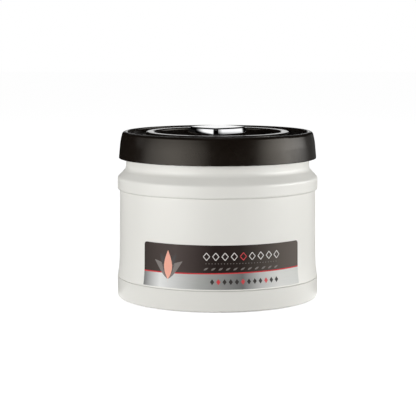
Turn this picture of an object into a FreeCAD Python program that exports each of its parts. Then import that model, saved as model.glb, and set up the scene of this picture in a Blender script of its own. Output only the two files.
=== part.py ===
# A press-pump vacuum canister. A white moulded shell holds a steel liner, and a black lid
# holds a sprung air pump under a chrome button and a small sprung release valve.
# Millimetres. The origin is the middle of the underside, +Z is up, the label faces -Y.
import FreeCAD, Part
import math
import os

# Fits shared by all pieces
seat_gap = 0.1          # between pieces that sit together
slip_gap = 0.3          # between pieces that move past each other
ring_gap = 0.06         # between the piston's ring and the bore it runs in
cut_overrun = 1.0       # how far a cutting tool passes the face that it cuts
closeness = 1e-6        # points nearer than this are one point

# Outer shell, from the bead under the neck
bead_radius = 75.0
step_width = 1.65       # the bead stands this far out from the wall below it
wall_draft = 0.6        # the wall widens by this much down to the knee of the flare
flare_width = 1.4       # the flare widens by this much from the knee to the seam
shoulder_width = 6.4    # from the neck out to the bead
shell_wall = 2.0
knee_height = 8.7       # seam to the knee of the flare
wall_height = 65.1      # seam to the step under the bead
bead_height = 9.4
shoulder_height = 6.6
neck_height = 15.2      # foot of the neck to the top of the rolled rim
flare_sweep = 95.0
step_rounding = 1.6
bead_rounding = 2.5
neck_rounding = 4.5

# Base cap, foot ring and the seam above them
base_height = 15.9      # underside to the seam
base_lip = 0.1          # the base stands this far out from the shell
base_corner = 1.3
base_wall = 2.2
seam_gap = 0.15
seam_rounding = 0.35
spigot_height = 7.0
spigot_rounding = 0.8
foot_stand = 0.6        # the foot ring stands this far below the base
foot_depth = 1.0        # and sits this far inside it
foot_width = 6.0
foot_inset = 8.0        # from the side of the base to the foot ring
foot_rounding = 0.4
pedestal_radius = 40.0
pedestal_height = 4.4   # lifts the liner off the floor of the base

# Steel liner
liner_wall = 0.6
liner_corner = 9.0
rim_lip = 3.6           # the rolled rim turns down this far outside the neck

# Label
label_width = 124.9     # along the wall
label_height = 31.4
label_turn = -90.0      # degrees, the middle of the front
label_shift = 4.2       # to the right of it
label_margin = 1.2      # above the seam
label_glue = 0.03
label_thickness = 0.2
label_corner = 2.2

# Lid cover, from the rolled rim outwards and upwards
skirt_gap = 2.65        # rolled rim to the inside of the skirt
skirt_height = 19.9
skirt_lean = 2.9        # the rim stands this far inside the skirt's lower edge
brow_drop = 7.1         # the skirt starts to bend in this far below the rim
brow_lean = 1.2         # and there it stands this far inside its lower edge
brow_sweep = 40.0
cover_wall = 2.0
skirt_rounding = 0.4
rim_width = 3.6
rim_rounding = 2.6
inner_rounding = 1.0
trough_depth = 6.5
ring_width = 6.3        # the raised ring between the trough and the dish
ring_drop = 0.2         # below the rim
ring_rounding = 1.3
dish_depth = 8.9
dish_margin = 3.5       # release tube to the wall of the dish
ledge_width = 1.4       # carries the edge of the deck plate
head_room = 1.9         # under the deck plate, for the screw heads
screw_land = 3.0        # from a screw's axis to the walls beside it

# Deck plate and its snap legs
deck_height = 2.0
deck_rounding = 0.4
leg_count = 4
leg_turn = 22.5         # degrees
leg_width = 7.0
leg_thickness = 1.4
leg_hook = 0.9
leg_tail = 1.2          # height of the hook

# Screws
screw_count = 4
screw_radius = 1.25
screw_length = 8.0
screw_head_radius = 2.3
screw_head_height = 1.5
screw_head_rounding = 0.8
recess_length = 2.6
recess_width = 0.7
recess_depth = 0.8

# Pump housing and gasket
housing_wall = 1.8
flange_height = 1.8
flange_margin = 0.3     # the flange reaches this far past the rolled rim
plug_gap = 3.1          # liner to the side of the plug
plug_corner = 2.5
gasket_height = 1.6
gasket_overhang = 0.3
gasket_rounding = 0.5
wiper_root = 1.8
wiper_height = 4.6
wiper_edge = 0.9

# Pump
bore_share = 0.424      # radius of the cylinder's bore, of the radius of the plug
hat_share = 0.434       # radius of the piston's hat, of that of the bore
pump_stroke = 8.0
floor_gap = 0.8         # left under the piston at the end of its stroke
piston_height = 4.4
hat_wall = 1.6
hat_rounding = 0.8
ring_section = 2.4
valve_room = 1.4        # above the crown of the piston
spring_share = 0.83     # radius of the spring, of that of the room inside the hat
spring_wire = 1.2
spring_turns = 7

# Umbrella valves, one in the cylinder floor and one on the crown
valve_gap = 1.6         # spring to the edge of a valve
valve_height = 1.0
valve_edge = 0.4
valve_stem = 1.3
valve_bulb = 1.9
bulb_height = 1.8
vent_count = 6
vent_radius = 0.8
vent_share = 0.6        # how far out the vents stand, of the radius of a valve

# Filter under the cylinder floor
collar_radius = 13.4
collar_wall = 1.2
collar_height = 2.4
screen_height = 0.4
mesh_pitch = 1.7
mesh_hole = 0.5
filter_wall = 1.2
inlet_count = 8
inlet_radius = 1.5
inlet_circle = 8.5

# Button, a diamond with bowed sides and one corner to the front
button_share = 0.83     # axis to the tip of a corner, of the radius of the bore
button_turn = -4.0      # degrees, the corners stand this far off the axes
button_corner = 4.5
button_bow = 50.0
button_rise = 3.3       # above the rim
bevel_width = 2.0
bevel_drop = 0.9
crown_height = 5.0      # below the bevel, where the sides curve in
crown_inset = 0.5
crown_steps = 4
cap_wall = 1.6
cap_top = 2.0
core_plate = 1.5
core_wall = 1.5
core_rib = 1.6

# Release valve
release_turn = 45.0     # degrees, from the right towards the back
release_gap = 1.9       # pump cylinder to the release tube
knob_radius = 4.7
knob_rise = 2.9         # above the dish
knob_height = 11.0
knob_rounding = 0.8
knob_hollow = 0.6       # depth of the finger hollow in its top
stem_radius = 1.8
stem_tail = 0.8
seal_radius = 4.2
seal_height = 1.6
clip_radius = 3.2
clip_height = 0.8
release_wire = 0.7
release_coil = 3.3
release_turns = 5

# Radii worked out from the values above
wall_top_radius = bead_radius - step_width
wall_low_radius = wall_top_radius + wall_draft
flare_radius = wall_low_radius + flare_width
base_radius = flare_radius + base_lip
cavity_radius = wall_top_radius - shell_wall
neck_radius = bead_radius - shoulder_width
neck_bore = neck_radius - shell_wall
liner_radius = neck_bore - seat_gap
liner_bore = liner_radius - liner_wall
lip_bore = neck_radius + seat_gap
lip_radius = lip_bore + liner_wall
foot_radius = base_radius - foot_inset
spigot_radius = cavity_radius - seat_gap
skirt_radius = lip_radius + skirt_gap + cover_wall
rim_radius = skirt_radius - skirt_lean
plug_radius = liner_bore - plug_gap
bore_radius = plug_radius * bore_share
cylinder_radius = bore_radius + housing_wall
tube_bore = knob_radius + slip_gap
tube_radius = tube_bore + housing_wall
release_reach = cylinder_radius + release_gap + tube_radius
ring_bore = release_reach + tube_radius + dish_margin
ring_radius = ring_bore + ring_width
screw_circle = ring_bore - ledge_width - screw_land
flange_radius = lip_radius + flange_margin
hat_radius = bore_radius * hat_share
hat_bore = hat_radius - hat_wall
spring_radius = hat_bore * spring_share
valve_radius = spring_radius - spring_wire / 2 - valve_gap
vent_circle = valve_radius * vent_share
button_reach = bore_radius * button_share
socket_bore = hat_radius + seat_gap
socket_radius = socket_bore + core_wall

# Heights of the body, from the underside up
base_top_z = base_height - seam_gap / 2
shell_low_z = base_height + seam_gap / 2
groove_z = foot_stand + foot_depth
base_floor_z = foot_stand + base_wall
pedestal_z = base_floor_z + pedestal_height
liner_low_z = pedestal_z + seat_gap
knee_z = base_height + knee_height
step_z = base_height + wall_height
bead_top_z = step_z + bead_height
neck_foot_z = bead_top_z + shoulder_height
mouth_z = neck_foot_z + neck_height
neck_top_z = mouth_z - liner_wall - seat_gap

# Heights of the lid, from the rolled rim up and then down into the plug
gasket_low_z = mouth_z + slip_gap
flange_low_z = gasket_low_z + gasket_height
flange_top_z = flange_low_z + flange_height
trough_z = flange_top_z + cover_wall
rim_z = trough_z + trough_depth
ring_z = rim_z - ring_drop
skirt_low_z = rim_z - skirt_height
brow_z = rim_z - brow_drop
dish_z = rim_z - dish_depth
deck_low_z = dish_z - deck_height
ledge_z = deck_low_z - head_room
ledge_low_z = ledge_z - cover_wall
cylinder_top_z = deck_low_z - seat_gap
piston_top_z = deck_low_z - slip_gap
piston_low_z = piston_top_z - piston_height
floor_z = piston_low_z - pump_stroke - floor_gap
floor_low_z = floor_z - housing_wall
collar_low_z = floor_low_z - collar_height
screen_low_z = collar_low_z - screen_height
button_z = rim_z + button_rise
button_low_z = piston_top_z + seat_gap
core_z = button_z - cap_top - seat_gap
core_low_z = core_z - core_plate
crown_z = core_low_z - valve_room
crown_low_z = crown_z - hat_wall
knob_z = dish_z + knob_rise
knob_low_z = knob_z - knob_height
seal_z = floor_low_z - seat_gap
seal_low_z = seal_z - seal_height
clip_low_z = seal_low_z - clip_height
stem_low_z = clip_low_z - stem_tail

up = FreeCAD.Vector(0, 0, 1)
origin = FreeCAD.Vector(0, 0, 0)


def unit(vector):
    """Vector of length 1 in the same direction."""
    return FreeCAD.Vector(vector).normalize()


def polar(reach, degrees, z):
    """Point at a distance and direction from the axis."""
    turn = math.radians(degrees)
    return FreeCAD.Vector(reach * math.cos(turn), reach * math.sin(turn), z)


def around(shape, count, first=0):
    """Copies of a shape spread evenly round the axis."""
    copies = [shape.copy() for i in range(count)]
    for i, copy in enumerate(copies):
        copy.rotate(origin, up, first + 360 * i / count)
    return copies


def outline(corners):
    """Closed wire in the XZ plane through corners of (radius, height, rounding)."""
    points = [FreeCAD.Vector(r, 0, z) for r, z, rounding in corners]
    count = len(points)
    sides = [points[(i + 1) % count] - points[i] for i in range(count)]
    halves = [(points[i - 1] - points[i]).getAngle(sides[i]) / 2 for i in range(count)]
    reach = [corners[i][2] / math.tan(halves[i]) for i in range(count)]
    # Two roundings that are too large for the side between them share it.
    taken = [reach[i] + reach[(i + 1) % count] for i in range(count)]
    room = [sides[i].Length / max(taken[i], sides[i].Length) for i in range(count)]
    reach = [reach[i] * min(room[i - 1], room[i]) for i in range(count)]
    starts = [points[i] - unit(sides[i - 1]) * reach[i] for i in range(count)]
    ends = [points[i] + unit(sides[i]) * reach[i] for i in range(count)]
    edges = []
    for i in range(count):
        if ends[i - 1].distanceToPoint(starts[i]) > closeness:
            edges.append(Part.LineSegment(ends[i - 1], starts[i]).toShape())
        if reach[i] > closeness:
            inward = unit(unit(sides[i]) - unit(sides[i - 1]))
            depth = reach[i] * (1 / math.cos(halves[i]) - math.tan(halves[i]))
            edges.append(Part.Arc(starts[i], points[i] + inward * depth, ends[i]).toShape())
    return Part.Wire(edges)


def turned(corners):
    """Solid that a closed outline makes as it turns about the axis."""
    return Part.Face(outline(corners)).revolve(origin, up, 360)


def rod(radius, low_z, high_z, reach=0, degrees=0):
    """Upright cylinder between two heights."""
    return Part.makeCylinder(radius, high_z - low_z, polar(reach, degrees, low_z))


def block(near, far, width, low_z, high_z):
    """Box along +X from near to far, evenly on both sides of it."""
    corner = FreeCAD.Vector(near, -width / 2, low_z)
    return Part.makeBox(far - near, width, high_z - low_z, corner)


def button_wire(outset, z):
    """The button's outline at a height, grown outwards by outset."""
    corner_out = button_reach - button_corner
    half = corner_out / math.sqrt(2)
    bow_back = math.sqrt((button_bow - button_corner) ** 2 - half ** 2) - half
    rounding = button_corner + outset
    edges = []
    for degrees in [button_turn + 90 * i for i in range(4)]:
        corner = polar(corner_out, degrees, z)
        next_corner = polar(corner_out, degrees + 90, z)
        bow_before = polar(-bow_back, degrees - 45, z)
        bow_after = polar(-bow_back, degrees + 45, z)
        corner_start = corner + unit(corner - bow_before) * rounding
        corner_tip = polar(button_reach + outset, degrees, z)
        side_start = corner + unit(corner - bow_after) * rounding
        side_middle = polar(button_bow - bow_back + outset, degrees + 45, z)
        side_end = next_corner + unit(next_corner - bow_after) * rounding
        edges.append(Part.Arc(corner_start, corner_tip, side_start).toShape())
        edges.append(Part.Arc(side_start, side_middle, side_end).toShape())
    return Part.Wire(edges)


def button_prism(outset, low_z, high_z):
    """Upright prism of the button's outline, grown outwards by outset."""
    return Part.Face(button_wire(outset, low_z)).extrude(up * (high_z - low_z))


def arc_leaving(start, direction, end):
    """Arc from start, which it leaves in the given direction, to end."""
    chord = end - start
    aside = chord - direction * chord.dot(direction)
    radius = chord.dot(chord) / (2 * aside.Length)
    centre = start + unit(aside) * radius
    middle = centre + unit((start + end) / 2 - centre) * radius
    return Part.Arc(start, middle, end).toShape()


def biarc(start, leaving, end, arriving):
    """Two arcs from start to end that meet smoothly and keep both end directions."""
    chord = end - start
    both = chord.dot(leaving + arriving)
    spread = 2 * (1 - leaving.dot(arriving))
    handle = (math.sqrt(both ** 2 + spread * chord.dot(chord)) - both) / spread
    joint = (start + end + (leaving - arriving) * handle) / 2
    return [arc_leaving(start, leaving, joint), arc_leaving(end, arriving * -1, joint)]


def coil(name, radius, wire, low_z, high_z, turns):
    """Round wire wound between two heights, in quarter turns of two arcs each."""
    first_z = low_z + seat_gap + wire / 2
    rise = (high_z - low_z - 2 * seat_gap - wire) / turns
    quarters = range(4 * turns + 1)
    points = [polar(radius, 90 * i, first_z + rise * i / 4) for i in quarters]
    climb = up * (rise / (2 * math.pi))
    directions = [unit(polar(radius, 90 * i + 90, 0) + climb) for i in quarters]
    edges = []
    for i in quarters[1:]:
        edges += biarc(points[i - 1], directions[i - 1], points[i], directions[i])
    section = Part.Wire(Part.Circle(points[0], directions[0], wire / 2).toShape())
    path = Part.Wire(edges)
    samples = path.discretize(Number=24 * turns + 1)
    gaps = [a.distanceToPoint(b) - wire for i, a in enumerate(samples) for b in samples[i + 12:]]
    print(name, "least gap between turns", round(min(gaps), 2))
    return path.makePipeShell([section], True, False)


def wall_corners(outset):
    """Outer corners of the label wall, from the seam to the step under the bead."""
    return [
        (flare_radius + outset, shell_low_z, seam_rounding),
        (wall_low_radius + outset, knee_z, flare_sweep),
        (wall_top_radius + outset, step_z, 0),
    ]


def outer_shell():
    return turned(wall_corners(0) + [
        (bead_radius, step_z, step_rounding),
        (bead_radius, bead_top_z, bead_rounding),
        (neck_radius, neck_foot_z, neck_rounding),
        (neck_radius, neck_top_z, shell_wall / 2),
        (neck_bore, neck_top_z, shell_wall / 2),
        (neck_bore, neck_foot_z, neck_rounding),
        (cavity_radius, bead_top_z, bead_rounding),
        (cavity_radius, shell_low_z, 0),
    ])


def inner_liner():
    curl = (lip_radius - liner_bore) / 2
    under_z = mouth_z - liner_wall
    lip_z = mouth_z - rim_lip
    return turned([
        (0, liner_low_z, 0),
        (liner_radius, liner_low_z, liner_corner),
        (liner_radius, under_z, curl - liner_wall),
        (lip_bore, under_z, curl - liner_wall),
        (lip_bore, lip_z, liner_wall / 2),
        (lip_radius, lip_z, liner_wall / 2),
        (lip_radius, mouth_z, curl),
        (liner_bore, mouth_z, curl),
        (liner_bore, liner_low_z + liner_wall, liner_corner - liner_wall),
        (0, liner_low_z + liner_wall, 0),
    ])


def base_cap():
    shelf_z = base_top_z - base_wall
    spigot_z = base_top_z + spigot_height
    foot_bore = foot_radius - foot_width
    return turned([
        (0, foot_stand, 0),
        (foot_bore - seat_gap, foot_stand, 0),
        (foot_bore - seat_gap, groove_z, 0),
        (foot_radius + seat_gap, groove_z, 0),
        (foot_radius + seat_gap, foot_stand, 0),
        (base_radius, foot_stand, base_corner),
        (base_radius, base_top_z, seam_rounding),
        (spigot_radius, base_top_z, 0),
        (spigot_radius, spigot_z, spigot_rounding),
        (spigot_radius - base_wall, spigot_z, 0),
        (spigot_radius - base_wall, shelf_z, 0),
        (base_radius - base_wall, shelf_z, 0),
        (base_radius - base_wall, base_floor_z, base_corner),
        (pedestal_radius, base_floor_z, 0),
        (pedestal_radius, pedestal_z, 0),
        (pedestal_radius - base_wall, pedestal_z, 0),
        (pedestal_radius - base_wall, base_floor_z, 0),
        (0, base_floor_z, 0),
    ])


def foot_ring():
    foot_bore = foot_radius - foot_width
    return turned([
        (foot_bore, 0, foot_rounding),
        (foot_radius, 0, foot_rounding),
        (foot_radius, groove_z, 0),
        (foot_bore, groove_z, 0),
    ])


def label_corner_cut(side, z):
    """What a rounded top corner leaves off, for an edge of the label that faces +X."""
    near = cavity_radius
    far = base_radius + cut_overrun
    cut = block(near, far, label_corner, z - label_corner, z + cut_overrun)
    cut.translate(FreeCAD.Vector(0, side * label_corner / 2, 0))
    start = FreeCAD.Vector(near, side * label_corner, z - label_corner)
    return cut.cut(Part.makeCylinder(label_corner, far - near, start, FreeCAD.Vector(1, 0, 0)))


def label():
    low_z = shell_low_z + label_margin
    high_z = low_z + label_height
    spread = math.degrees(label_width / wall_low_radius)
    first = label_turn + math.degrees(label_shift / wall_low_radius) - spread / 2
    face = wall_corners(label_glue + label_thickness)
    back = wall_corners(label_glue)
    skin = turned([(0, shell_low_z, 0)] + face + [(0, step_z, 0)])
    inside = turned([(0, shell_low_z, 0)] + back + [(0, step_z, 0)])
    place = FreeCAD.Vector(0, 0, low_z)
    window = Part.makeCylinder(base_radius + cut_overrun, label_height, place, up, spread)
    window.rotate(origin, up, first)
    sheet = window.common(skin).cut(inside)
    for side, degrees in ((1, first), (-1, first + spread)):
        corner = label_corner_cut(side, high_z)
        corner.rotate(origin, up, degrees)
        sheet = sheet.cut(corner)
    return sheet.Solids[0]


def lid_cover():
    rim_bore = rim_radius - rim_width
    ledge_bore = screw_circle - screw_land
    cover = turned([
        (skirt_radius, skirt_low_z, skirt_rounding),
        (skirt_radius - brow_lean, brow_z, brow_sweep),
        (rim_radius, rim_z, rim_rounding),
        (rim_bore, rim_z, inner_rounding),
        (rim_bore, trough_z, inner_rounding),
        (ring_radius, trough_z, inner_rounding),
        (ring_radius, ring_z, ring_rounding),
        (ring_bore, ring_z, ring_rounding),
        (ring_bore, deck_low_z, 0),
        (ring_bore - ledge_width, deck_low_z, 0),
        (ring_bore - ledge_width, ledge_z, 0),
        (ledge_bore, ledge_z, 0),
        (ledge_bore, ledge_low_z, 0),
        (ring_bore + cover_wall, ledge_low_z, 0),
        (ring_bore + cover_wall, ring_z - cover_wall, 0),
        (ring_radius - cover_wall, ring_z - cover_wall, 0),
        (ring_radius - cover_wall, flange_top_z, 0),
        (skirt_radius - brow_lean - cover_wall, flange_top_z, inner_rounding),
        (skirt_radius - cover_wall, skirt_low_z, skirt_rounding),
    ])
    low_z = ledge_low_z - cut_overrun
    high_z = deck_low_z + cut_overrun
    hole = rod(screw_radius + seat_gap, low_z, high_z, screw_circle)
    leg_near = screw_circle - leg_thickness / 2
    leg_far = screw_circle + leg_thickness / 2
    slot = block(leg_near - leg_hook - seat_gap, leg_far + seat_gap, leg_width + 2 * seat_gap,
                 low_z, ledge_z + cut_overrun)
    tube = rod(tube_radius + seat_gap, low_z, high_z, release_reach, release_turn)
    return cover.cut(around(hole, screw_count) + around(slot, leg_count, leg_turn) + [tube])


def deck_plate():
    radius = ring_bore - seat_gap
    plate = turned([
        (0, deck_low_z, 0),
        (radius, deck_low_z, 0),
        (radius, dish_z, deck_rounding),
        (0, dish_z, 0),
    ])
    low_z = deck_low_z - cut_overrun
    high_z = dish_z + cut_overrun
    plate = plate.cut([
        button_prism(slip_gap, low_z, high_z),
        rod(tube_bore, low_z, high_z, release_reach, release_turn),
    ])
    hook_z = ledge_low_z - seat_gap
    leg_near = screw_circle - leg_thickness / 2
    leg_far = screw_circle + leg_thickness / 2
    leg = block(leg_near, leg_far, leg_width, hook_z - leg_tail, deck_low_z)
    leg = leg.fuse(block(leg_near, leg_far + leg_hook, leg_width, hook_z - leg_tail, hook_z))
    return plate.fuse(around(leg, leg_count, leg_turn)).removeSplitter()


def pump_housing():
    inside = plug_radius - housing_wall
    cup = turned([
        (0, floor_low_z, 0),
        (plug_radius, floor_low_z, plug_corner),
        (plug_radius, flange_low_z, 0),
        (flange_radius, flange_low_z, 0),
        (flange_radius, flange_top_z, 0),
        (inside, flange_top_z, 0),
        (inside, floor_z, plug_corner),
        (cylinder_radius, floor_z, 0),
        (cylinder_radius, cylinder_top_z, 0),
        (bore_radius, cylinder_top_z, 0),
        (bore_radius, floor_z, 0),
        (0, floor_z, 0),
    ])
    in_floor_z = (floor_low_z + floor_z) / 2
    boss = rod(screw_radius + housing_wall, in_floor_z, ledge_low_z, screw_circle)
    tube = rod(tube_radius, in_floor_z, cylinder_top_z, release_reach, release_turn)
    collar = rod(collar_radius, collar_low_z, in_floor_z)
    collar = collar.cut(rod(collar_radius - collar_wall, collar_low_z, in_floor_z))
    housing = cup.fuse(around(boss, screw_count) + [tube, collar]).removeSplitter()
    below_z = floor_low_z - cut_overrun
    above_z = floor_z + cut_overrun
    top_z = cylinder_top_z + cut_overrun
    pilot_z = ledge_z - screw_length - seat_gap
    pilot = rod(screw_radius + seat_gap, pilot_z, top_z, screw_circle)
    vent = rod(vent_radius, below_z, above_z, vent_circle)
    return housing.cut(around(pilot, screw_count) + around(vent, vent_count) + [
        rod(valve_stem + seat_gap, below_z, above_z),
        rod(tube_bore, floor_z, top_z, release_reach, release_turn),
        rod(stem_radius + slip_gap, below_z, above_z, release_reach, release_turn),
    ])


def lid_gasket():
    radius = lip_radius + gasket_overhang
    tip_radius = liner_bore - slip_gap
    wiper_z = gasket_low_z - wiper_height
    return turned([
        (plug_radius, wiper_z, 0),
        (tip_radius, wiper_z, 0),
        (tip_radius, wiper_z + wiper_edge, 0),
        (plug_radius + wiper_root, gasket_low_z, gasket_rounding),
        (radius, gasket_low_z, gasket_rounding),
        (radius, flange_low_z, 0),
        (plug_radius, flange_low_z, 0),
    ])


def housing_screws():
    head_z = ledge_z + screw_head_height
    tip_z = ledge_z - screw_length
    screw = turned([
        (0, tip_z, 0),
        (screw_radius, tip_z, screw_radius / 2),
        (screw_radius, ledge_z, 0),
        (screw_head_radius, ledge_z, 0),
        (screw_head_radius, head_z, screw_head_rounding),
        (0, head_z, 0),
    ])
    slot = block(-recess_length / 2, recess_length / 2, recess_width,
                 head_z - recess_depth, head_z + cut_overrun)
    screw = screw.cut(around(slot, 4, 45)[:2])
    screw.translate(polar(screw_circle, 0, 0))
    return Part.makeCompound(around(screw, screw_count))


def umbrella_valve(seat_z, plate_low_z):
    """Soft valve whose cap lies on a plate and whose stem and bulb pass through it."""
    bulb_z = plate_low_z - seat_gap
    return turned([
        (0, bulb_z - bulb_height, 0),
        (valve_bulb, bulb_z - bulb_height, valve_bulb / 2),
        (valve_bulb, bulb_z, 0),
        (valve_stem, bulb_z, 0),
        (valve_stem, seat_z, 0),
        (valve_radius, seat_z, 0),
        (valve_radius, seat_z + valve_edge, valve_edge / 2),
        (0, seat_z + valve_height, 0),
    ])


def intake_valve():
    return umbrella_valve(floor_z, floor_low_z)


def exhaust_valve():
    return umbrella_valve(crown_z, crown_low_z)


def filter_screen():
    rim = collar_radius - mesh_pitch
    rows = int(rim / mesh_pitch) + 1
    wires = [Part.Wire(Part.Circle(FreeCAD.Vector(0, 0, screen_low_z), up, collar_radius).toShape())]
    for row in range(-rows, rows + 1):
        for column in range(-rows, rows + 1):
            hole = FreeCAD.Vector(column * mesh_pitch, row * mesh_pitch, screen_low_z)
            if math.hypot(hole.x, hole.y) < rim:
                wires.append(Part.Wire(Part.Circle(hole, up, mesh_hole).toShape()))
    return Part.makeFace(wires, "Part::FaceMakerBullseye").extrude(up * screen_height)


def filter_cap():
    bore = collar_radius + seat_gap
    low_z = screen_low_z - filter_wall
    high_z = floor_low_z - seat_gap
    cap = turned([
        (0, low_z, 0),
        (bore + filter_wall, low_z, filter_wall / 2),
        (bore + filter_wall, high_z, 0),
        (bore, high_z, 0),
        (bore, screen_low_z, 0),
        (0, screen_low_z, 0),
    ])
    inlet = rod(inlet_radius, low_z - cut_overrun, screen_low_z + cut_overrun, inlet_circle)
    middle = rod(inlet_radius, low_z - cut_overrun, screen_low_z + cut_overrun)
    return cap.cut(around(inlet, inlet_count) + [middle])


def push_button():
    bevel_z = button_z - bevel_drop
    crown_low_z = bevel_z - crown_height
    shares = [i / crown_steps for i in range(crown_steps + 1)]
    sections = [button_wire(-crown_inset * t ** 2, crown_low_z + crown_height * t) for t in shares]
    crown = Part.makeLoft(sections, True, False)
    edge = button_wire(-crown_inset - bevel_width, button_z)
    bevel = Part.makeLoft([sections[-1], edge], True, True)
    cap = button_prism(0, button_low_z, crown_low_z).fuse([crown, bevel])
    return cap.cut(button_prism(-cap_wall, button_low_z - cut_overrun, button_z - cap_top))


def button_core():
    core = button_prism(-cap_wall - seat_gap, core_low_z, core_z)
    in_plate_z = (core_low_z + core_z) / 2
    rib = block(hat_radius, button_reach - button_corner, core_rib, button_low_z + core_rib, in_plate_z)
    socket = rod(socket_radius, button_low_z, in_plate_z)
    core = core.fuse([socket] + around(rib, 4, button_turn)).removeSplitter()
    return core.cut(rod(socket_bore, button_low_z - cut_overrun, core_low_z))


def pump_piston():
    radius = bore_radius - slip_gap
    groove = ring_section / 2 + seat_gap
    groove_radius = bore_radius - ring_gap - ring_section - seat_gap
    middle_z = (piston_low_z + piston_top_z) / 2
    piston = turned([
        (hat_bore, piston_low_z, 0),
        (radius, piston_low_z, 0),
        (radius, middle_z - groove, 0),
        (groove_radius, middle_z - groove, 0),
        (groove_radius, middle_z + groove, 0),
        (radius, middle_z + groove, 0),
        (radius, piston_top_z, 0),
        (hat_radius, piston_top_z, 0),
        (hat_radius, crown_z, hat_rounding),
        (0, crown_z, 0),
        (0, crown_low_z, 0),
        (hat_bore, crown_low_z, 0),
    ])
    low_z = crown_low_z - cut_overrun
    high_z = crown_z + cut_overrun
    vent = rod(vent_radius, low_z, high_z, vent_circle)
    return piston.cut(around(vent, vent_count) + [rod(valve_stem + seat_gap, low_z, high_z)])


def piston_ring():
    middle = FreeCAD.Vector(0, 0, (piston_low_z + piston_top_z) / 2)
    return Part.makeTorus(bore_radius - ring_gap - ring_section / 2, ring_section / 2, middle)


def return_spring():
    return coil("return_spring", spring_radius, spring_wire, floor_z, crown_low_z, spring_turns)


def at_release(shape):
    """Shape moved from the axis to the release valve."""
    shape.translate(polar(release_reach, release_turn, 0))
    return shape


def release_button():
    return at_release(turned([
        (0, stem_low_z, 0),
        (stem_radius, stem_low_z, stem_tail / 2),
        (stem_radius, knob_low_z, 0),
        (knob_radius, knob_low_z, 0),
        (knob_radius, knob_z, knob_rounding),
        (knob_radius - 2 * knob_rounding, knob_z, knob_rounding),
        (0, knob_z - knob_hollow, 0),
    ]))


def release_spring():
    return at_release(coil("release_spring", release_coil, release_wire, floor_z, knob_low_z,
                           release_turns))


def release_seal():
    return at_release(rod(seal_radius, seal_low_z, seal_z).cut(
        rod(stem_radius + seat_gap, seal_low_z - cut_overrun, seal_z + cut_overrun)))


def release_clip():
    return at_release(rod(clip_radius, clip_low_z, seal_low_z).cut(
        rod(stem_radius + seat_gap, clip_low_z - cut_overrun, seal_low_z + cut_overrun)))


pieces = [
    outer_shell, inner_liner, base_cap, foot_ring, label,
    lid_cover, deck_plate, pump_housing, lid_gasket, housing_screws,
    intake_valve, filter_screen, filter_cap, return_spring, release_spring,
    push_button, button_core, pump_piston, piston_ring, exhaust_valve,
    release_button, release_seal, release_clip,
]
os.makedirs("parts", exist_ok=True)
for make in pieces:
    shape = make()
    shape.exportStep("parts/" + make.__name__ + ".step")
    print(make.__name__, len(shape.Solids), "solid", round(shape.Volume), "mm3", shape.isValid())
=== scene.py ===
import math

import bpy
import numpy as np
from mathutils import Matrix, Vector
from mathutils.bvhtree import BVHTree


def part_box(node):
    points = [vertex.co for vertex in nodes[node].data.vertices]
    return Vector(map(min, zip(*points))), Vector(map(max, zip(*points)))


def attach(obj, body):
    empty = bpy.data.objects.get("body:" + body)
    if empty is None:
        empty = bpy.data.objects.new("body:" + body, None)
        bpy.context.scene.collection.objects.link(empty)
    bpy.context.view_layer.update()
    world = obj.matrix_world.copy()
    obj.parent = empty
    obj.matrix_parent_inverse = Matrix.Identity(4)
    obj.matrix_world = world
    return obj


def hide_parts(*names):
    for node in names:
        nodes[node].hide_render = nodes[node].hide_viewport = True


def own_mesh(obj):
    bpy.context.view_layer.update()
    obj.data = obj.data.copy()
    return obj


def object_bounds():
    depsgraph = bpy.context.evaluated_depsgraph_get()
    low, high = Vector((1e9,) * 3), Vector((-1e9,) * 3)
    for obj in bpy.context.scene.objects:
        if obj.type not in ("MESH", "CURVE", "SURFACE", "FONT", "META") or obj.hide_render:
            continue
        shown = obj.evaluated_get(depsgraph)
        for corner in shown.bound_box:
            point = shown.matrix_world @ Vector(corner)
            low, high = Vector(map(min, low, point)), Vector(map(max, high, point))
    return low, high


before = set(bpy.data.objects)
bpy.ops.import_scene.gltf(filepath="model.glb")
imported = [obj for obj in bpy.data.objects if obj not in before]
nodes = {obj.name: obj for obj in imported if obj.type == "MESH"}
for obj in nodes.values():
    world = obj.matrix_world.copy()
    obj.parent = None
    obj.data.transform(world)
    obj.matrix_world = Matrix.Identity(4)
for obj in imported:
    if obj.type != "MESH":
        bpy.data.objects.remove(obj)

# The studio and the looks of a press-pump canister. Metres, +Z up, the label faces -Y.
box_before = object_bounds()
scene = bpy.context.scene
scene.view_settings.view_transform = "Standard"
MM = 0.001

# Colours as they look on a screen, 0 to 255
SHELL_WHITE = (236, 235, 229)
# The base cap takes the shell's white a little darker: painted shade on the base
BASE_WHITE_SHADED = (230, 229, 223)
LID_BLACK = (23, 18, 14)
DECK_BLACK = (19, 16, 13)
HOUSING_GREY = (214, 215, 211)
SILICONE_MILK = (226, 227, 222)
RELEASE_GREY = (205, 206, 203)
FOOT_GREY = (176, 176, 172)
SEAL_BLACK = (30, 30, 31)
STEEL = (203, 202, 199)
ZINC = (178, 181, 186)
SPRING = (186, 186, 190)
CHROME = (232, 233, 234)
PRINT_RED = (206, 62, 66)
PRINT_WHITE = (222, 218, 214)
PRINT_SALMON = (240, 168, 146)
PRINT_GREY = (112, 105, 101)
PRINT_DARK = (38, 32, 30)
CARD_BLACK = (24, 23, 22)
WARM_GLOSS = (1.0, 0.93, 0.82, 1.0)  # linear, the tint of gloss on black plastic


def linear(colour):
    """Screen colour as the linear colour that shaders take."""
    shares = [c / 255 for c in colour]
    return tuple(c / 12.92 if c <= 0.04045 else ((c + 0.055) / 1.055) ** 2.4 for c in shares) + (1.0,)


def shade(colour, factor):
    """Linear colour made lighter or darker."""
    return tuple(min(1.0, c * factor) for c in linear(colour)[:3]) + (1.0,)


def grey_level(level):
    """Linear grey."""
    return (level, level, level, 1)


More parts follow.
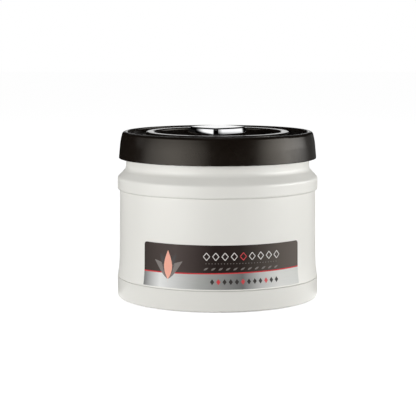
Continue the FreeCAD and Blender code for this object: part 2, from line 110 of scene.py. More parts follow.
# Shader nodes
def fill(tree, socket, value):
    """Links a socket to another one, or sets its plain value."""
    if isinstance(value, bpy.types.NodeSocket):
        tree.links.new(value, socket)
    else:
        socket.default_value = value


def add(tree, kind, settings=None, **inputs):
    """New node. An input is a socket to link or a plain value, by its name with _ for spaces."""
    made = tree.nodes.new("ShaderNode" + kind)
    for name, value in (settings or {}).items():
        setattr(made, name, value)
    for name, value in inputs.items():
        fill(tree, made.inputs[name.replace("_", " ")], value)
    return made


def math_node(tree, operation, first, second=0.0, third=0.0):
    made = add(tree, "Math", {"operation": operation})
    for socket, value in zip(made.inputs, (first, second, third)):
        fill(tree, socket, value)
    return made.outputs[0]


def mix(tree, share, first, second, blend="MIX"):
    made = add(tree, "MixRGB", {"blend_type": blend}, Fac=share, Color1=first, Color2=second)
    return made.outputs[0]


def object_place(tree):
    return add(tree, "TexCoord").outputs["Object"]


def axes(tree, place):
    return add(tree, "SeparateXYZ", Vector=place).outputs


def axis_distance(tree, x, y):
    squares = math_node(tree, "MULTIPLY_ADD", x, x, math_node(tree, "MULTIPLY", y, y))
    return math_node(tree, "SQRT", squares)


def noise(tree, vector, scale, detail=2.0, roughness=0.5):
    made = add(tree, "TexNoise", Vector=vector, Scale=scale, Detail=detail, Roughness=roughness)
    return made.outputs["Fac"]


NOISE_LOW, NOISE_HIGH = 0.3, 0.7     # where most values of a noise lie


def spread(tree, value, low, high):
    """A noise value spread over the range from low to high."""
    made = add(tree, "MapRange", Value=value, From_Min=NOISE_LOW, From_Max=NOISE_HIGH,
               To_Min=low, To_Max=high)
    return made.outputs[0]


def tones(tree, value, colour, swing):
    """A colour that varies by a small share with a noise value."""
    return mix(tree, value, shade(colour, 1 - swing), shade(colour, 1 + swing))


def set_bump(tree, surface, height, strength, depth):
    bump = add(tree, "Bump", Height=height, Strength=strength, Distance=depth)
    fill(tree, surface.inputs["Normal"], bump.outputs[0])


def new_material(name):
    made = bpy.data.materials.new(name)
    made.use_nodes = True
    return made, made.node_tree, made.node_tree.nodes["Principled BSDF"]


# Moulded plastic and rubber. Scales are noise cells per metre.
FLOW_SCALE = 24.0
GLOSS_SCALE = 9 * FLOW_SCALE
GLOSS_SWING = 0.03               # of the roughness, up and down
GRAIN_STRENGTH = 0.5


def moulded(name, colour, roughness, swing=0.02, grain=2600.0, depth=0.004, polish=None, **sockets):
    """Moulded plastic or rubber: faint flow marks, an uneven gloss and a fine grain.

    swing is the share by which the colour varies, grain the scale of the grain and depth its
    depth in millimetres. polish is a distance from the axis and how much smoother the surface
    is within it.
    """
    made, tree, surface = new_material(name)
    place = object_place(tree)
    flow_marks = noise(tree, place, FLOW_SCALE, detail=3.0)
    fill(tree, surface.inputs["Base Color"], tones(tree, flow_marks, colour, swing))
    patches = noise(tree, place, GLOSS_SCALE, detail=4.0)
    gloss = spread(tree, patches, roughness - GLOSS_SWING, roughness + GLOSS_SWING)
    if polish:
        x, y, _ = axes(tree, place)
        within = math_node(tree, "LESS_THAN", axis_distance(tree, x, y), polish[0])
        gloss = math_node(tree, "MULTIPLY_ADD", within, -polish[1], gloss)
    fill(tree, surface.inputs["Roughness"], gloss)
    set_bump(tree, surface, noise(tree, place, grain, detail=3.0), GRAIN_STRENGTH, depth * MM)
    for socket, value in sockets.items():
        surface.inputs[socket.replace("_", " ")].default_value = value
    return made


# Spun metal
STREAK_DRIFT = 4 * MM            # how far a streak shifts in a radian round the axis
STREAK_TONES = 0.10
STREAK_STRENGTH = 0.6
STREAK_DEPTH = 0.003 * MM
PATCH_SCALE = 40.0
PATCH_SMOOTHER, PATCH_ROUGHER = 0.04, 0.05


def spun(name, colour, roughness, pitch):
    """Metal brushed or turned round the axis: streaks that follow the circles about +Z."""
    made, tree, surface = new_material(name)
    place = object_place(tree)
    x, y, z = axes(tree, place)
    out = axis_distance(tree, x, y)
    drift = math_node(tree, "MULTIPLY", math_node(tree, "ARCTAN2", x, y), STREAK_DRIFT)
    rings = add(tree, "CombineXYZ", X=out, Y=drift, Z=z).outputs[0]
    streaks = noise(tree, rings, 1 / pitch, detail=5.0, roughness=0.7)
    patches = noise(tree, place, PATCH_SCALE)
    fill(tree, surface.inputs["Base Color"], tones(tree, streaks, colour, STREAK_TONES))
    gloss = spread(tree, patches, roughness - PATCH_SMOOTHER, roughness + PATCH_ROUGHER)
    fill(tree, surface.inputs["Roughness"], gloss)
    set_bump(tree, surface, streaks, STREAK_STRENGTH, STREAK_DEPTH)
    surface.inputs["Metallic"].default_value = 1.0
    return made


# Plating
HAZE_SCALE = 160.0
HAZE_TONES = 0.02
WAVE_SCALE = 60.0
WAVE_STRENGTH = 0.3
WAVE_DEPTH = 0.02 * MM


def plated(name, colour, roughness):
    """Bright plating with a faint haze, up to twice as rough, and long soft waves."""
    made, tree, surface = new_material(name)
    place = object_place(tree)
    haze = noise(tree, place, HAZE_SCALE, detail=4.0)
    fill(tree, surface.inputs["Base Color"], tones(tree, haze, colour, HAZE_TONES))
    fill(tree, surface.inputs["Roughness"], spread(tree, haze, roughness, 2 * roughness))
    set_bump(tree, surface, noise(tree, place, WAVE_SCALE, detail=1.0), WAVE_STRENGTH, WAVE_DEPTH)
    surface.inputs["Metallic"].default_value = 1.0
    return made


# Label: a dark panel over a red line and a silver band, both with painted reflections of the lamps
label_low, label_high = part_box("label")
label_points = np.array([v.co for v in nodes["label"].data.vertices])
label_turns = np.arctan2(label_points[:, 0], -label_points[:, 1])
label_middle = (label_turns.min() + label_turns.max()) / 2
label_half = (label_turns.max() - label_turns.min()) / 2
label_radius = np.hypot(label_points[:, 0], label_points[:, 1]).mean()
LINE_SHARES = (0.350, 0.377)     # lower and upper edge of the red line, of the label's height
LINE_TILT = 0.064                # how much higher its right end lies, of the label's height
PAINTED_SHEEN_SHARE = 0.155              # where the slanted painted sheen ends, of the label's width
PAINTED_SHEEN_SLANT = 3.0                # radians per metre of height
PAINTED_SHEEN_GAIN = 1.08                # how much lighter the painted sheen is
SPECK_SCALE = 900.0
LABEL_SMOOTHEST, LABEL_ROUGHEST = 0.34, 0.42
LABEL_SPECULAR = 0.12
BRUSH_SCALE = 5200.0
BRUSH_DRIFT = 1.2 * MM           # how far a brush line shifts in a radian round the axis
BRUSH_SHARE = 0.22
BRUSH_STRENGTH = 0.4
BRUSH_DEPTH = 0.004 * MM
PANEL_REFLECTION_RAMP = (                   # share of the width, colour; the colours paint the lamps' reflection on the foil
    (0.00, (50, 42, 38)), (0.22, (75, 65, 62)), (0.45, (31, 21, 18)),
    (0.60, (38, 29, 25)), (0.86, (88, 81, 75)), (1.00, (98, 90, 84)),
)
# The silver band's colours across it are its painted reflection of the lamps
BAND_REFLECTION_RAMP = (
    (0.00, (118, 118, 118)), (0.12, (232, 233, 231)), (0.36, (170, 171, 168)), (0.61, (116, 116, 115)),
    (0.72, (196, 196, 194)), (0.84, (223, 223, 219)), (1.00, (211, 212, 208)),
)


def ramp(tree, value, stops):
    made = add(tree, "ValToRGB", Fac=value)
    elements = made.color_ramp.elements
    while len(elements) < len(stops):
        elements.new(1.0)
    for element, (position, colour) in zip(elements, stops):
        element.position = position
        element.color = linear(colour)
    return made.outputs[0]


def label_material():
    made, tree, surface = new_material("label_print")
    place = object_place(tree)
    x, y, z = axes(tree, place)
    turn = math_node(tree, "ARCTAN2", x, math_node(tree, "MULTIPLY", y, -1.0))
    across = add(tree, "MapRange", Value=turn, From_Min=label_middle - label_half,
                 From_Max=label_middle + label_half).outputs[0]
    height = label_high.z - label_low.z
    level = math_node(tree, "MULTIPLY_ADD", across, -LINE_TILT * height, z)
    in_band, in_line = [math_node(tree, "LESS_THAN", level, label_low.z + (share - LINE_TILT / 2) * height)
                        for share in LINE_SHARES]
    # Painted sheen: left of a slanted edge the panel is painted lighter
    slant = math_node(tree, "MULTIPLY_ADD", z, PAINTED_SHEEN_SLANT, turn)
    painted_sheen_turn = label_middle - label_half + 2 * label_half * PAINTED_SHEEN_SHARE + label_high.z * PAINTED_SHEEN_SLANT
    in_painted_sheen = math_node(tree, "LESS_THAN", slant, painted_sheen_turn)
    brushed_x = math_node(tree, "MULTIPLY", turn, BRUSH_DRIFT)
    brushed_at = add(tree, "CombineXYZ", X=brushed_x, Y=z).outputs[0]
    brushed = noise(tree, brushed_at, BRUSH_SCALE, detail=4.0, roughness=0.7)
    # Painted reflection: the panel's and the band's colours follow the lamps' reflection across the label
    plain = ramp(tree, across, PANEL_REFLECTION_RAMP)
    lighter = mix(tree, 1.0, plain, grey_level(PAINTED_SHEEN_GAIN), "MULTIPLY")
    upper = mix(tree, in_line, mix(tree, in_painted_sheen, plain, lighter), linear(PRINT_RED))
    lower = mix(tree, BRUSH_SHARE, ramp(tree, across, BAND_REFLECTION_RAMP), brushed, "OVERLAY")
    fill(tree, surface.inputs["Base Color"], mix(tree, in_band, upper, lower))
    specks = noise(tree, place, SPECK_SCALE, detail=3.0)
    fill(tree, surface.inputs["Roughness"], spread(tree, specks, LABEL_SMOOTHEST, LABEL_ROUGHEST))
    relief = math_node(tree, "MULTIPLY", brushed, in_band)
    set_bump(tree, surface, relief, BRUSH_STRENGTH, BRUSH_DEPTH)
    surface.inputs["Specular IOR Level"].default_value = LABEL_SPECULAR
    return made


RIM_SHARE = 0.925                # crest of the lid's rim, of its half width; polished from there inwards
RIM_POLISH = 0.10
rim_radius = RIM_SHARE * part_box("lid_cover")[1].x
black_gloss = {"Specular_Tint": WARM_GLOSS, "Specular_IOR_Level": 0.25}
shell_white = moulded("shell_white", SHELL_WHITE, roughness=0.32, swing=0.012, Specular_IOR_Level=0.45)
# Painted shade: the base cap's white is a darker copy of the shell's
base_white_shaded = moulded("base_white_shaded", BASE_WHITE_SHADED, roughness=0.32, swing=0.012, Specular_IOR_Level=0.45)
lid_black = moulded("lid_black", LID_BLACK, roughness=0.23, swing=0.06, depth=0.003,
                    polish=(rim_radius, RIM_POLISH), **black_gloss)
deck_black = moulded("deck_black", DECK_BLACK, roughness=0.10, swing=0.06, depth=0.003, **black_gloss)
housing_grey = moulded("housing_grey", HOUSING_GREY, roughness=0.46)
silicone = moulded("silicone", SILICONE_MILK, roughness=0.5, swing=0.015,
                   Sheen_Weight=0.15, Sheen_Roughness=0.4)
release_grey = moulded("release_grey", RELEASE_GREY, roughness=0.32, swing=0.015)
foot_rubber = moulded("foot_rubber", FOOT_GREY, roughness=0.68, swing=0.03, grain=1800.0, depth=0.012)
seal_rubber = moulded("seal_rubber", SEAL_BLACK, roughness=0.55, swing=0.05, depth=0.006)
liner_steel = spun("liner_steel", STEEL, roughness=0.33, pitch=0.9 * MM)
screw_zinc = spun("screw_zinc", ZINC, roughness=0.34, pitch=0.5 * MM)
spring_wire = plated("spring_wire", SPRING, roughness=0.13)
chrome = plated("chrome", CHROME, roughness=0.035)
label_print = label_material()

finishes = {
    "outer_shell": shell_white, "base_cap": base_white_shaded, "inner_liner": liner_steel,
    "foot_ring": foot_rubber, "label": label_print, "lid_cover": lid_black,
    "deck_plate": deck_black, "pump_housing": housing_grey, "lid_gasket": silicone,
    "housing_screws": screw_zinc, "intake_valve": silicone, "filter_screen": liner_steel,
    "filter_cap": housing_grey, "push_button": chrome, "button_core": housing_grey,
    "pump_piston": housing_grey, "piston_ring": seal_rubber, "exhaust_valve": silicone,
    "release_button": release_grey, "release_seal": silicone, "release_clip": screw_zinc,
}
for name, finish in finishes.items():
    nodes[name].data.materials.clear()
    nodes[name].data.materials.append(finish)


# Pieces made here
def mesh_piece(name, points, faces, finish, body):
    mesh = bpy.data.meshes.new(name)
    mesh.from_pydata([tuple(p) for p in points], [], faces)
    mesh.polygons.foreach_set("use_smooth", [True] * len(mesh.polygons))
    mesh.materials.append(finish)
    mesh.validate()
    piece = bpy.data.objects.new(name, mesh)
    scene.collection.objects.link(piece)
    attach(piece, body)
    return piece


# Springs with closed end turns, in the room of the plain wound ones
STEPS_PER_TURN = 48
WIRE_SIDES = 14
DEAD_TURNS = 0.8                 # closed turns at each end
CLOSED_PITCH = 1.04              # of the wire's width


def coil(name, node, wire_share, turns):
    """Wound spring in the box of a CAD node; wire_share is the wire's width, of the spring's."""
    low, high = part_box(node)
    middle = (low + high) / 2
    width = high.x - low.x
    wire = wire_share * width / 2
    reach = width / 2 - wire
    room = high.z - low.z - 2 * wire
    closed = 2 * wire * CLOSED_PITCH * DEAD_TURNS
    knots = (0.0, DEAD_TURNS, turns - DEAD_TURNS, turns)
    heights = (0.0, closed, room - closed, room)
    along = np.linspace(0, turns, int(turns * STEPS_PER_TURN) + 1)
    angle = 2 * math.pi * along
    z = low.z + wire + np.interp(along, knots, heights)
    outward = np.stack([np.cos(angle), np.sin(angle), np.zeros_like(angle)], 1)
    line = outward * reach + np.stack([np.full_like(z, middle.x), np.full_like(z, middle.y), z], 1)
    points = []
    for centre, out in zip(line, outward):
        for i in range(WIRE_SIDES):
            tilt = 2 * math.pi * i / WIRE_SIDES
            points.append(centre + wire * (math.cos(tilt) * out + np.array([0, 0, math.sin(tilt)])))
    faces = []
    for ring in range(len(line) - 1):
        for i in range(WIRE_SIDES):
            a = ring * WIRE_SIDES + i
            b = ring * WIRE_SIDES + (i + 1) % WIRE_SIDES
            faces.append((a, a + WIRE_SIDES, b + WIRE_SIDES, b))
    faces.append(tuple(range(WIRE_SIDES)))
    last = (len(line) - 1) * WIRE_SIDES
    faces.append(tuple(last + i for i in reversed(range(WIRE_SIDES))))
    piece = mesh_piece(name, points, faces, spring_wire, "lid")
    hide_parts(node)
    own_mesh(piece)


coil("return_coil", "return_spring", wire_share=0.0682, turns=7.6)
coil("release_coil", "release_spring", wire_share=0.0959, turns=6.0)


# Ornament on the label, printed shapes that follow its face
skin = BVHTree.FromObject(nodes["label"], bpy.context.evaluated_depsgraph_get())
PRINT_LIFT = 0.03 * MM           # of each layer of ink
PATCH_STEP = 0.6 * MM
LEAF_ROWS = 8                    # at least
LEAF_SHAPE = 0.85                # below 1 the widest place lies nearer to the foot


def on_label(across, up, layer):
    """Point on the label's face, across and up from the middle of its lower edge."""
    turn = label_middle + across / label_radius
    out = Vector((math.sin(turn), -math.cos(turn), 0))
    start = out * (2 * label_radius) + Vector((0, 0, label_low.z + up))
    place = skin.ray_cast(start, -out)[0]
    return place + out * (PRINT_LIFT * layer)


class Print:
    """Flat shapes of one colour, gathered into one piece."""

    def __init__(self, layer):
        self.points = []
        self.faces = []
        self.layer = layer

    def patch(self, first, second):
        """Surface between two lines of points with the same number of points."""
        gap = max(math.dist(a, b) for a, b in zip(first, second))
        columns = max(1, math.ceil(gap / PATCH_STEP))
        start = len(self.points)
        for a, b in zip(first, second):
            for i in range(columns + 1):
                share = i / columns
                across = a[0] + (b[0] - a[0]) * share
                up = a[1] + (b[1] - a[1]) * share
                self.points.append(on_label(across, up, self.layer))
        for row in range(len(first) - 1):
            for i in range(columns):
                a = start + row * (columns + 1) + i
                self.faces.append((a, a + 1, a + columns + 2, a + columns + 1))

    def stroke(self, start, end, width):
        length = math.dist(start, end)
        side = ((start[1] - end[1]) / length * width / 2, (end[0] - start[0]) / length * width / 2)
        rows = max(1, math.ceil(length / PATCH_STEP))
        line = [(start[0] + (end[0] - start[0]) * i / rows, start[1] + (end[1] - start[1]) * i / rows)
                for i in range(rows + 1)]
        self.patch([(p[0] + side[0], p[1] + side[1]) for p in line],
                   [(p[0] - side[0], p[1] - side[1]) for p in line])

    def leaf(self, foot, tip, width, bend=0.0):
        """Pointed leaf from foot to tip, bowed to one side by a share of its length."""
        length = math.dist(foot, tip)
        along = ((tip[0] - foot[0]) / length, (tip[1] - foot[1]) / length)
        rows = max(LEAF_ROWS, math.ceil(length / PATCH_STEP))
        left, right = [], []
        for i in range(rows + 1):
            share = i / rows
            half = width / 2 * math.sin(math.pi * share ** LEAF_SHAPE)
            bow = bend * length * math.sin(math.pi * share)
            x = foot[0] + along[0] * length * share - along[1] * bow
            y = foot[1] + along[1] * length * share + along[0] * bow
            left.append((x - along[1] * half, y + along[0] * half))
            right.append((x + along[1] * half, y - along[0] * half))
        self.patch(left, right)

    def lozenge(self, middle, width, height):
        x, y = middle
        upper = [(x - width / 2, y), (x, y + height / 2), (x + width / 2, y)]
        lower = [(x - width / 2, y), (x, y - height / 2), (x + width / 2, y)]
        self.patch(upper, lower)

    def open_lozenge(self, middle, width, height, line):
        x, y = middle
        corners = [(x - width / 2, y), (x, y + height / 2), (x + width / 2, y), (x, y - height / 2)]
        for i in range(4):
            self.stroke(corners[i - 1], corners[i], line)

    def piece(self, name, colour):
        finish = moulded(name + "_ink", colour, roughness=0.4, swing=0.03)
        mesh_piece(name, self.points, self.faces, finish, "canister")


white = Print(layer=3)
red = Print(layer=3)
salmon = Print(layer=4)
grey = Print(layer=2)
dark = Print(layer=2)

# A five-leaf sprig at the left
SPRIG_X = -41 * MM
SPRIG_FOOT = 6.2 * MM
SPRIG_TOP = 27.0 * MM
SPRIG_WIDTH = 6.6 * MM
OUTER_REACH, OUTER_TOP, OUTER_WIDTH, OUTER_BEND = 11.5 * MM, 19.5 * MM, 5.6 * MM, 0.10
INNER_REACH, INNER_TOP, INNER_WIDTH, INNER_BEND = 7.0 * MM, 24.5 * MM, 5.4 * MM, 0.08
STEM_BELOW, STEM_ABOVE, STEM_WIDTH = 2.6 * MM, 0.6 * MM, 0.8 * MM
foot = (SPRIG_X, SPRIG_FOOT)
for side in (-1, 1):
    grey.leaf(foot, (SPRIG_X + side * OUTER_REACH, OUTER_TOP), OUTER_WIDTH, side * OUTER_BEND)
    dark.leaf(foot, (SPRIG_X + side * INNER_REACH, INNER_TOP), INNER_WIDTH, side * INNER_BEND)
salmon.leaf(foot, (SPRIG_X, SPRIG_TOP), SPRIG_WIDTH)
white.stroke((SPRIG_X, SPRIG_FOOT - STEM_BELOW), (SPRIG_X, SPRIG_FOOT + STEM_ABOVE), STEM_WIDTH)

# A row of lozenges, a beaded line and a row of small leaves on the panel
LOZENGE_COUNT, LOZENGE_PITCH = 9, 6.6 * MM
LOZENGE_X, LOZENGE_Y = -12 * MM, 23.4 * MM
LOZENGE_WIDTH, LOZENGE_HEIGHT, LOZENGE_LINE = 4.6 * MM, 5.4 * MM, 0.55 * MM
for i in range(LOZENGE_COUNT):
    ink = red if i == LOZENGE_COUNT // 2 else white
    middle = (LOZENGE_X + i * LOZENGE_PITCH, LOZENGE_Y)
    ink.open_lozenge(middle, LOZENGE_WIDTH, LOZENGE_HEIGHT, LOZENGE_LINE)
ROW_X = -12.4 * MM
BEAD_COUNT, BEAD_PITCH, BEAD_Y, BEAD_SIZE = 25, 2.2 * MM, 18.4 * MM, 0.9 * MM
for i in range(BEAD_COUNT):
    grey.lozenge((ROW_X + i * BEAD_PITCH, BEAD_Y), BEAD_SIZE, BEAD_SIZE)
LEAF_COUNT, LEAF_PITCH, LEAF_Y = 11, 5.28 * MM, 14.6 * MM
LEAF_REACH, LEAF_RISE, LEAF_WIDTH = 1.7 * MM, 0.9 * MM, 1.3 * MM
for i in range(LEAF_COUNT):
    x = ROW_X + i * LEAF_PITCH
    grey.leaf((x - LEAF_REACH, LEAF_Y - LEAF_RISE), (x + LEAF_REACH, LEAF_Y + LEAF_RISE), LEAF_WIDTH)

# A chain of lozenges on the silver band, with red ones among them
CHAIN_COUNT, CHAIN_PITCH = 12, 4.4 * MM
RED_FIRST, RED_EVERY = 1, 4
CHAIN_X, CHAIN_Y = -8 * MM, 5.4 * MM
CHAIN_WIDTH, CHAIN_HEIGHT = 3.0 * MM, 4.2 * MM
for i in range(CHAIN_COUNT):
    ink = red if i % RED_EVERY == RED_FIRST else dark
    ink.lozenge((CHAIN_X + i * CHAIN_PITCH, CHAIN_Y), CHAIN_WIDTH, CHAIN_HEIGHT)

white.piece("label_ornament_white", PRINT_WHITE)
red.piece("label_ornament_red", PRINT_RED)
salmon.piece("label_ornament_salmon", PRINT_SALMON)
grey.piece("label_ornament_grey", PRINT_GREY)
dark.piece("label_ornament_dark", PRINT_DARK)


# Studio
AMBIENT = 0.245                  # the world's light on the object
FLOOR_COLOUR = 0.45              # as the object's light meets it
FLOOR_MOTTLE = 0.01
FLOOR_GLOW = 0.84                # what the camera and mirrors see of the floor by itself
FLOOR_SHADE = 0.60               # and how much the light on it adds
FLOOR_HALF = 6.0
FLOOR_DROP = 0.05 * MM
MOTTLE_SCALE = 12.0


def seen_directly(tree):
    """1 for the rays of the camera and those by mirrors and clear pieces."""
    path = add(tree, "LightPath")
    seen = math_node(tree, "MAXIMUM", path.outputs["Is Camera Ray"], path.outputs["Is Glossy Ray"])
    return math_node(tree, "MAXIMUM", seen, path.outputs["Is Transmission Ray"])


world = bpy.data.worlds.new("studio")
scene.world = world
world.use_nodes = True
sky = world.node_tree
sky_colour = mix(sky, seen_directly(sky), grey_level(AMBIENT), grey_level(1))
fill(sky, sky.nodes["Background"].inputs["Color"], sky_colour)


def panel(name, corners, finish):
    """Stage piece of one or more four-cornered faces."""
    mesh = bpy.data.meshes.new(name)
    mesh.from_pydata(corners, [], [tuple(range(i, i + 4)) for i in range(0, len(corners), 4)])
    mesh.materials.append(finish)
    made = bpy.data.objects.new(name, mesh)
    scene.collection.objects.link(made)
    return made


def square(half, z):
    """Corners of a level square about the axis."""
    return [(-half, -half, z), (half, -half, z), (half, half, z), (-half, half, z)]


def bare_material(name):
    """Material with no shader yet, its nodes and the socket for its shader."""
    made, tree, surface = new_material(name)
    tree.nodes.remove(surface)
    return made, tree, tree.nodes["Material Output"].inputs[0]


def floor_material():
    made, tree, shader = bare_material("floor_white")
    mottle = noise(tree, object_place(tree), MOTTLE_SCALE, detail=3.0)
    colour = spread(tree, mottle, FLOOR_COLOUR - FLOOR_MOTTLE, FLOOR_COLOUR + FLOOR_MOTTLE)
    plain = add(tree, "BsdfDiffuse", Color=colour)
    shaded = add(tree, "BsdfDiffuse", Color=grey_level(FLOOR_SHADE))
    glow = add(tree, "Emission", Strength=FLOOR_GLOW)
    both = add(tree, "AddShader")
    fill(tree, both.inputs[0], shaded.outputs[0])
    fill(tree, both.inputs[1], glow.outputs[0])
    choice = add(tree, "MixShader", Fac=seen_directly(tree))
    fill(tree, choice.inputs[1], plain.outputs[0])
    fill(tree, choice.inputs[2], both.outputs[0])
    fill(tree, shader, choice.outputs[0])
    return made


panel("floor", square(FLOOR_HALF, box_before[0].z - FLOOR_DROP), floor_material())

# Black walls that only mirrors and gloss see: round the set but for an opening at the back, and overhead
WALL_REACH, WALL_TOP = 1.9, 3.2
WALL_STEP = 5                    # degrees
OPENING = 10                     # degrees to each side of the back
OPENING_TOP = 0.45
FLAG_Z = MM
card_black = moulded("card_black", CARD_BLACK, roughness=0.9)
wall_turns = [math.radians(turn) for turn in range(OPENING - 180, 181 - OPENING, WALL_STEP)]
wall_line = [(WALL_REACH * math.sin(turn), -WALL_REACH * math.cos(turn)) for turn in wall_turns]


def upright(a, b, low, high):
    """Corners of an upright face over the line from a to b."""
    return [(*a, low), (*b, low), (*b, high), (*a, high)]


cards = [panel("wall_card_%02d" % i, upright(a, b, 0, WALL_TOP), card_black)
         for i, (a, b) in enumerate(zip(wall_line, wall_line[1:]))]
back_corners = upright(wall_line[0], wall_line[-1], OPENING_TOP, WALL_TOP)
cards.append(panel("back_card", back_corners, card_black))
cards.append(panel("top_card", square(WALL_REACH, WALL_TOP), card_black))

# Black flags on the floor behind the object and beside its back half
side = box_before[1].x
flags = (
    ("flag_left", -WALL_REACH, -side, 0),
    ("flag_right", side, WALL_REACH, 0),
    ("flag_back", -side, side, box_before[1].y),
)
for name, west, east, near in flags:
    flag_corners = [(west, near, FLAG_Z), (east, near, FLAG_Z), (east, WALL_REACH, FLAG_Z),
                    (west, WALL_REACH, FLAG_Z)]
    cards.append(panel(name, flag_corners, card_black))


def link_light(sources, node, state):
    """INCLUDE makes lamps or glowing cards light one CAD node alone, EXCLUDE all but that node."""
    group = bpy.data.collections.new("%s_%s" % (node, state.lower()))
    group.objects.link(nodes[node])
    group.collection_objects[0].light_linking.link_state = state
    for source in sources:
        source.light_linking.receiver_collection = group


def hide_card(card):
    """Leaves a card to mirrors and gloss alone."""
    card.visible_camera = False
    card.visible_diffuse = False
    card.visible_transmission = False
    card.visible_shadow = False


# White cards for mirrors and gloss. Turns and rises are degrees as seen from the top of the button.
CARD_REACH = 1.6
CARD_STEP = 12                   # degrees that one flat face of a card takes at most
CARD_GLOW = 1.25
CARD_GAP = 0.05                  # between cards that hang behind one another
button_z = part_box("push_button")[1].z


def glow_material(name, strength, value_ranges):
    """Glow that is the product of smooth steps of the values over their ranges."""
    made, tree, shader = bare_material(name)
    x, y, z = axes(tree, object_place(tree))
    glow = strength
    for value, (start, end) in value_ranges(tree, x, y, z):
        share = add(tree, "MapRange", {"interpolation_type": "SMOOTHSTEP"}, Value=value,
                    From_Min=start, From_Max=end)
        glow = math_node(tree, "MULTIPLY", share.outputs[0], glow)
    fill(tree, shader, add(tree, "Emission", Strength=glow).outputs[0])
    return made


def turn_from(tree, x, y, middle):
    """Turn from a direction that is itself turned from the front."""
    sine, cosine = math.sin(middle), math.cos(middle)
    ahead = math_node(tree, "MULTIPLY_ADD", x, sine, math_node(tree, "MULTIPLY", y, -cosine))
    aside = math_node(tree, "MULTIPLY_ADD", x, cosine, math_node(tree, "MULTIPLY", y, sine))
    return math_node(tree, "ARCTAN2", aside, ahead)


def glow_card(name, west, east, low, high, span, tilt=0.0, reach=CARD_REACH, strength=CARD_GLOW):
    """Curved card with a soft glow.

    The glow starts over the turns in west, ends over those in east and grows from the rise low
    to the rise high. span is the rise of the card's lower and upper edge, tilt how much lower the
    glow reaches for each degree to the east.
    """
    def value_ranges(tree, x, y, z):
        middle = math.radians(west[0] + east[1]) / 2
        turn = math_node(tree, "ADD", turn_from(tree, x, y, middle), middle)
        rise = math_node(tree, "DIVIDE", math_node(tree, "SUBTRACT", z, button_z), axis_distance(tree, x, y))
        lean = math.radians(west[1] + east[0]) / 2
        level = math_node(tree, "MULTIPLY_ADD", math_node(tree, "SUBTRACT", turn, lean), tilt, rise)
        ranges = (turn, west), (turn, east[::-1]), (level, (low, high))
        return [(value, [math.radians(end) for end in ends]) for value, ends in ranges]

    turns = np.radians(np.linspace(west[0], east[1], math.ceil((east[1] - west[0]) / CARD_STEP) + 1))
    edge = [(reach * math.sin(turn), -reach * math.cos(turn)) for turn in turns]
    bottom, top = [button_z + reach * math.tan(math.radians(rise)) for rise in span]
    corners = []
    for a, b in zip(edge, edge[1:]):
        corners += upright(a, b, bottom, top)
    return panel(name, corners, glow_material(name, strength, value_ranges))


def overhead_card(name, half, z, strength):
    """Level card whose glow fades from a third of its half width outwards."""
    def value_ranges(tree, x, y, _):
        return [(axis_distance(tree, x, y), (half, half / 3))]

    return panel(name, square(half, z), glow_material(name, strength, value_ranges))


# What the plated button shows
button_cards = [
    glow_card("button_card_left", west=(-108, -84), east=(-66, -40), low=1.0, high=6.0,
              span=(-4, 26), tilt=0.115),
    glow_card("button_card_right", west=(46, 60), east=(101, 107), low=-4.0, high=9.0,
              span=(-4, 26), tilt=0.12),
    glow_card("button_card_round", west=(-156, -152), east=(152, 156), low=14, high=34,
              span=(13, 60), reach=CARD_REACH + CARD_GAP, strength=1.0),
    glow_card("button_card_back", west=(174, 176), east=(184, 186), low=14, high=34,
              span=(13, 40), reach=CARD_REACH + CARD_GAP, strength=1.0),
]
link_light(button_cards, "push_button", "INCLUDE")

# Soft light that only views from above show in the lid
lid_cards = [
    glow_card("lid_card_left", west=(-168, -160), east=(-125, -110), low=18, high=28,
              span=(18, 55), reach=CARD_REACH + 2 * CARD_GAP, strength=0.6),
    glow_card("lid_card_right", west=(110, 125), east=(160, 168), low=18, high=28,
              span=(18, 55), reach=CARD_REACH + 2 * CARD_GAP, strength=0.6),
]
link_light(lid_cards, "push_button", "EXCLUDE")
lid_cards.append(overhead_card("overhead_card", half=0.45, z=1.2, strength=0.9))

# What the steel liner shows
liner_cards = [
    overhead_card("liner_card", half=1.2, z=3.0, strength=1.1),
    glow_card("liner_card_round", west=(-165, -160), east=(160, 165), low=5, high=20,
              span=(5, 60), reach=CARD_REACH + 3 * CARD_GAP),
]
link_light(liner_cards, "inner_liner", "INCLUDE")
for card in cards + button_cards + lid_cards + liner_cards:
    hide_card(card)


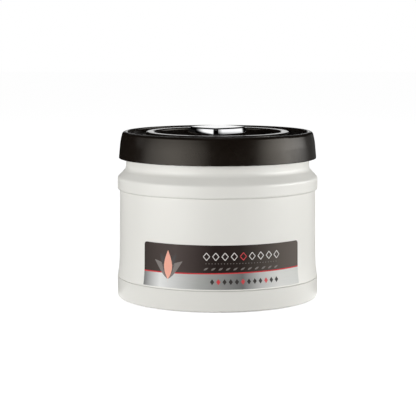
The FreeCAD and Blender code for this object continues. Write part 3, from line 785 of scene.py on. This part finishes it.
def softbox(name, turn, low, high, width, distance, radiance, beam=180, gloss=True, diffuse=True):
    """Area lamp that faces the axis, turn degrees from the front towards the right.

    A beam below 180 makes it fade to nothing that many degrees from edge to edge.
    """
    half = math.radians(beam / 2)
    lamp = bpy.data.lights.new(name, "AREA")
    lamp.shape = "RECTANGLE"
    lamp.size = width
    lamp.size_y = high - low
    lamp.spread = 2 * half
    lamp.energy = radiance * math.pi * width * (high - low) * (1 - half / math.tan(half))
    made = bpy.data.objects.new(name, lamp)
    angle = math.radians(turn)
    made.location = (distance * math.sin(angle), -distance * math.cos(angle), (low + high) / 2)
    made.rotation_euler = (math.radians(90), 0, angle)
    made.visible_camera = False
    made.visible_glossy = gloss
    made.visible_diffuse = diffuse
    scene.collection.objects.link(made)
    return made


# Lamps that only gloss shows, on all but the button
strips = [
    softbox("strip_left", turn=-52, low=0.0, high=0.65, width=1.8, distance=1.0,
            radiance=4.7, beam=94, diffuse=False),
    softbox("strip_right", turn=86, low=0.12, high=0.65, width=1.8, distance=1.0,
            radiance=8.4, beam=86, diffuse=False),
    softbox("low_right", turn=86, low=0.0, high=0.12, width=1.8, distance=1.02,
            radiance=0.6, diffuse=False),
    softbox("tail_left", turn=-101, low=0.22, high=0.6, width=0.3, distance=1.25,
            radiance=0.6, diffuse=False),
    softbox("tail_right", turn=145, low=0.0, high=0.3, width=0.7, distance=1.25,
            radiance=0.13, diffuse=False),
]
link_light(strips, "push_button", "EXCLUDE")

# Lamps that light the surfaces, with no gloss of their own
LAMP_TOP, LAMP_WIDTH = 0.4, 1.4
KEY_DISTANCE, RIM_DISTANCE = 1.4, 1.45
lamps = (
    ("key_left", -55, KEY_DISTANCE, 7.1),
    ("key_right", 55, KEY_DISTANCE, 5.7),
    ("rim_left", -115, RIM_DISTANCE, 2.8),
    ("rim_right", 115, RIM_DISTANCE, 6.3),
)
for name, turn, distance, radiance in lamps:
    softbox(name, turn, 0.0, LAMP_TOP, LAMP_WIDTH, distance, radiance, gloss=False)

# Camera, fitted to the photo's ellipses
LENS_PX, FRAME_PX, SENSOR = 1434.0, 416, 36.0
CAMERA_PLACE = (0.0, -1.07327, 0.19868)
CAMERA_DIP, CAMERA_TURN = 7.0390, 0.3823     # degrees below level, and to the left
CLIP_START, CLIP_END = 0.01, 50.0
camera = bpy.data.objects.new("camera", bpy.data.cameras.new("camera"))
camera.data.sensor_width = SENSOR
camera.data.lens = LENS_PX / FRAME_PX * SENSOR
camera.location = CAMERA_PLACE
camera.rotation_euler = (math.radians(90 - CAMERA_DIP), 0, math.radians(CAMERA_TURN))
camera.data.clip_start = CLIP_START
camera.data.clip_end = CLIP_END
scene.collection.objects.link(camera)
scene.camera = camera
